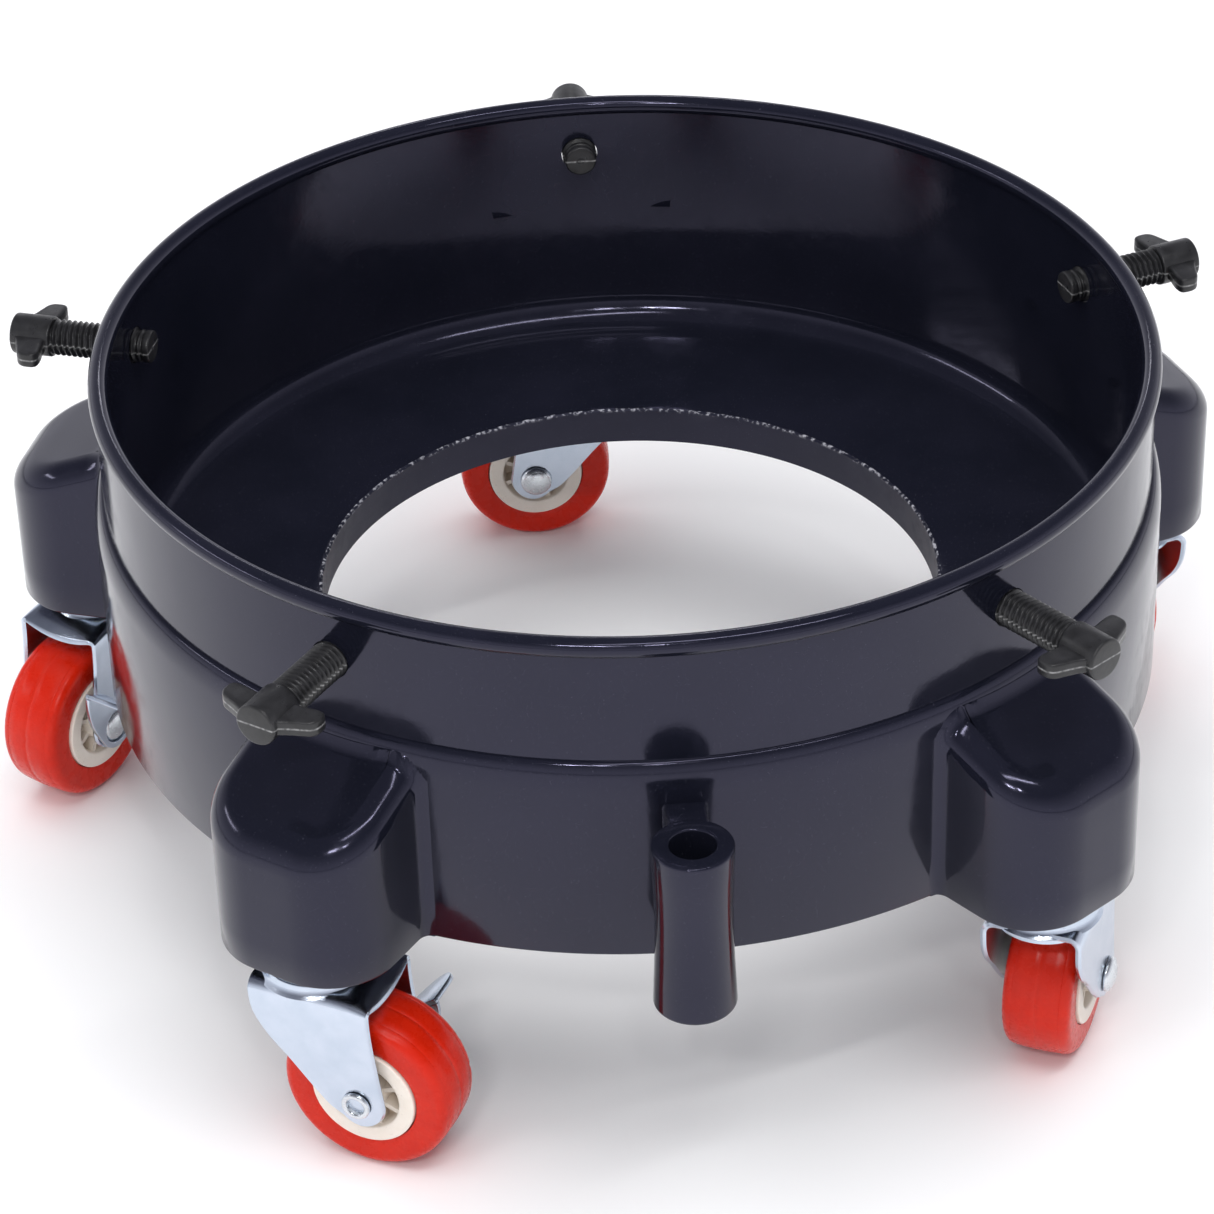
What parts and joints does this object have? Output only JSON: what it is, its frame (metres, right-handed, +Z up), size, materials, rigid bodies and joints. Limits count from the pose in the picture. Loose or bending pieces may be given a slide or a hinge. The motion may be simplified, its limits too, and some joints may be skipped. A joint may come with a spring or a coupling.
{
  "type": "drum dolly",
  "caption": "Low moulded ring dolly that clamps a round pail with wing screws through its wall and rolls on swivel casters with stamped forks; two have brake pedals.",
  "frame": {"origin": "centre of the whole object's footprint box, on the floor that the wheels stand on", "axes": "+Z up along the ring's axis; -Y towards the tool holder at the front; +X to the right seen from the front"},
  "size_m": [0.3948, 0.394, 0.1786],
  "materials": {
    "ring_plastic": "glossy blue-black moulded plastic",
    "screw_plastic": "satin black moulded plastic",
    "zinc_plate": "bright blue-white zinc plating",
    "bright_steel": "bright plated steel",
    "greased_balls": "steel balls in yellow grease",
    "hub_plastic": "cream-white moulded plastic",
    "tyre_red": "semi-gloss red polyurethane"
  },
  "bodies": {
    "ring": {"ring_body": "ring_plastic", "right_stem": "bright_steel", "right_stem_nut": "bright_steel", "right_upper_race": "zinc_plate", "back_stem": "bright_steel", "back_stem_nut": "bright_steel", "back_upper_race": "zinc_plate", "left_stem": "bright_steel", "left_stem_nut": "bright_steel", "left_upper_race": "zinc_plate", "front_left_stem": "bright_steel", "front_left_stem_nut": "bright_steel", "front_left_upper_race": "zinc_plate", "front_right_stem": "bright_steel", "front_right_stem_nut": "bright_steel", "front_right_upper_race": "zinc_plate"},
    "right_swivel": {"right_fork": "zinc_plate", "right_ball_race": "greased_balls", "right_axle_rivet": "bright_steel"},
    "right_wheel": {"right_hub": "hub_plastic", "right_tyre": "tyre_red"},
    "right_clamp": {"right_pressure_tip": "screw_plastic"},
    "right_wing": {"right_wing_screw": "screw_plastic"},
    "back_swivel": {"back_fork": "zinc_plate", "back_ball_race": "greased_balls", "back_axle_rivet": "bright_steel"},
    "back_wheel": {"back_hub": "hub_plastic", "back_tyre": "tyre_red"},
    "back_clamp": {"back_pressure_tip": "screw_plastic"},
    "back_wing": {"back_wing_screw": "screw_plastic"},
    "left_swivel": {"left_fork": "zinc_plate", "left_ball_race": "greased_balls", "left_axle_rivet": "bright_steel"},
    "left_wheel": {"left_hub": "hub_plastic", "left_tyre": "tyre_red"},
    "left_pedal": {"left_brake_pedal": "zinc_plate"},
    "left_clamp": {"left_pressure_tip": "screw_plastic"},
    "left_wing": {"left_wing_screw": "screw_plastic"},
    "front_left_swivel": {"front_left_fork": "zinc_plate", "front_left_ball_race": "greased_balls", "front_left_axle_rivet": "bright_steel"},
    "front_left_wheel": {"front_left_hub": "hub_plastic", "front_left_tyre": "tyre_red"},
    "front_left_pedal": {"front_left_brake_pedal": "zinc_plate"},
    "front_left_clamp": {"front_left_pressure_tip": "screw_plastic"},
    "front_left_wing": {"front_left_wing_screw": "screw_plastic"},
    "front_right_swivel": {"front_right_fork": "zinc_plate", "front_right_ball_race": "greased_balls", "front_right_axle_rivet": "bright_steel"},
    "front_right_wheel": {"front_right_hub": "hub_plastic", "front_right_tyre": "tyre_red"},
    "front_right_clamp": {"front_right_pressure_tip": "screw_plastic"},
    "front_right_wing": {"front_right_wing_screw": "screw_plastic"}
  },
  "joints": [
    {"name": "right_swivel_turn", "type": "hinge", "parent": "ring", "child": "right_swivel", "pos_m": [0.1743, 0.053, 0.0635], "axis": [0, 0, 1], "continuous": true},
    {"name": "right_wheel_roll", "type": "hinge", "parent": "right_swivel", "child": "right_wheel", "pos_m": [0.16964, 0.07039, 0.0265], "axis": [-0.9659, -0.2588, 0], "continuous": true},
    {"name": "right_screw_feed", "type": "slide", "parent": "ring", "child": "right_clamp", "axis": [-0.9511, -0.309, 0], "range_m": [-0.0047, 0.0176]},
    {"name": "right_screw_turn", "type": "hinge", "parent": "right_clamp", "child": "right_wing", "pos_m": [0.18001, 0.05486, 0.1585], "axis": [-0.9511, -0.309, 0], "range_deg": [-900, 3420]},
    {"name": "back_swivel_turn", "type": "hinge", "parent": "ring", "child": "back_swivel", "pos_m": [0.00501, 0.176, 0.0635], "axis": [0, 0, 1], "continuous": true},
    {"name": "back_wheel_roll", "type": "hinge", "parent": "back_swivel", "child": "back_wheel", "pos_m": [-0.01298, 0.17663, 0.0265], "axis": [-0.0349, -0.9994, 0], "continuous": true},
    {"name": "back_screw_feed", "type": "slide", "parent": "ring", "child": "back_clamp", "axis": [0, -1, 0], "range_m": [-0.0047, 0.0176]},
    {"name": "back_screw_turn", "type": "hinge", "parent": "back_clamp", "child": "back_wing", "pos_m": [0.00501, 0.182, 0.1585], "axis": [0, -1, 0], "range_deg": [-900, 3420]},
    {"name": "left_swivel_turn", "type": "hinge", "parent": "ring", "child": "left_swivel", "pos_m": [-0.16329, 0.05595, 0.0635], "axis": [0, 0, 1], "continuous": true},
    {"name": "left_wheel_roll", "type": "hinge", "parent": "left_swivel", "child": "left_wheel", "pos_m": [-0.17437, 0.04177, 0.0265], "axis": [0.788, -0.6157, 0], "continuous": true},
    {"name": "left_pedal_press", "type": "hinge", "parent": "left_swivel", "child": "left_pedal", "pos_m": [-0.17437, 0.04177, 0.0265], "axis": [0.788, -0.6157, 0], "range_deg": [0, 24]},
    {"name": "left_screw_feed", "type": "slide", "parent": "ring", "child": "left_clamp", "axis": [0.9455, -0.3256, 0], "range_m": [-0.0047, 0.0176]},
    {"name": "left_screw_turn", "type": "hinge", "parent": "left_clamp", "child": "left_wing", "pos_m": [-0.16896, 0.0579, 0.1585], "axis": [0.9455, -0.3256, 0], "range_deg": [-900, 3420]},
    {"name": "front_left_swivel_turn", "type": "hinge", "parent": "ring", "child": "front_left_swivel", "pos_m": [-0.10087, -0.14509, 0.0635], "axis": [0, 0, 1], "continuous": true},
    {"name": "front_left_wheel_roll", "type": "hinge", "parent": "front_left_swivel", "child": "front_left_wheel", "pos_m": [-0.08497, -0.15354, 0.0265], "axis": [0.4695, 0.8829, 0], "continuous": true},
    {"name": "front_left_pedal_press", "type": "hinge", "parent": "front_left_swivel", "child": "front_left_pedal", "pos_m": [-0.08497, -0.15354, 0.0265], "axis": [0.4695, 0.8829, 0], "range_deg": [0, 24]},
    {"name": "front_left_screw_feed", "type": "slide", "parent": "ring", "child": "front_left_clamp", "axis": [0.5948, 0.8039, 0], "range_m": [-0.0047, 0.0176]},
    {"name": "front_left_screw_turn", "type": "hinge", "parent": "front_left_clamp", "child": "front_left_wing", "pos_m": [-0.10444, -0.14991, 0.1585], "axis": [0.5948, 0.8039, 0], "range_deg": [-900, 3420]},
    {"name": "front_right_swivel_turn", "type": "hinge", "parent": "ring", "child": "front_right_swivel", "pos_m": [0.11213, -0.14416, 0.0635], "axis": [0, 0, 1], "continuous": true},
    {"name": "front_right_wheel_roll", "type": "hinge", "parent": "front_right_swivel", "child": "front_right_wheel", "pos_m": [0.12002, -0.12798, 0.0265], "axis": [-0.8988, 0.4384, 0], "continuous": true},
    {"name": "front_right_screw_feed", "type": "slide", "parent": "ring", "child": "front_right_clamp", "axis": [-0.6018, 0.7986, 0], "range_m": [-0.0047, 0.0176]},
    {"name": "front_right_screw_turn", "type": "hinge", "parent": "front_right_clamp", "child": "front_right_wing", "pos_m": [0.11575, -0.14895, 0.1585], "axis": [-0.6018, 0.7986, 0], "range_deg": [-900, 3420]}
  ],
  "couplings": [
    {"joint": "right_screw_feed", "follows": "right_screw_turn", "m_per_rad": 0.00029444},
    {"joint": "back_screw_feed", "follows": "back_screw_turn", "m_per_rad": 0.00029444},
    {"joint": "left_screw_feed", "follows": "left_screw_turn", "m_per_rad": 0.00029444},
    {"joint": "front_left_screw_feed", "follows": "front_left_screw_turn", "m_per_rad": 0.00029444},
    {"joint": "front_right_screw_feed", "follows": "front_right_screw_turn", "m_per_rad": 0.00029444}
  ]
}
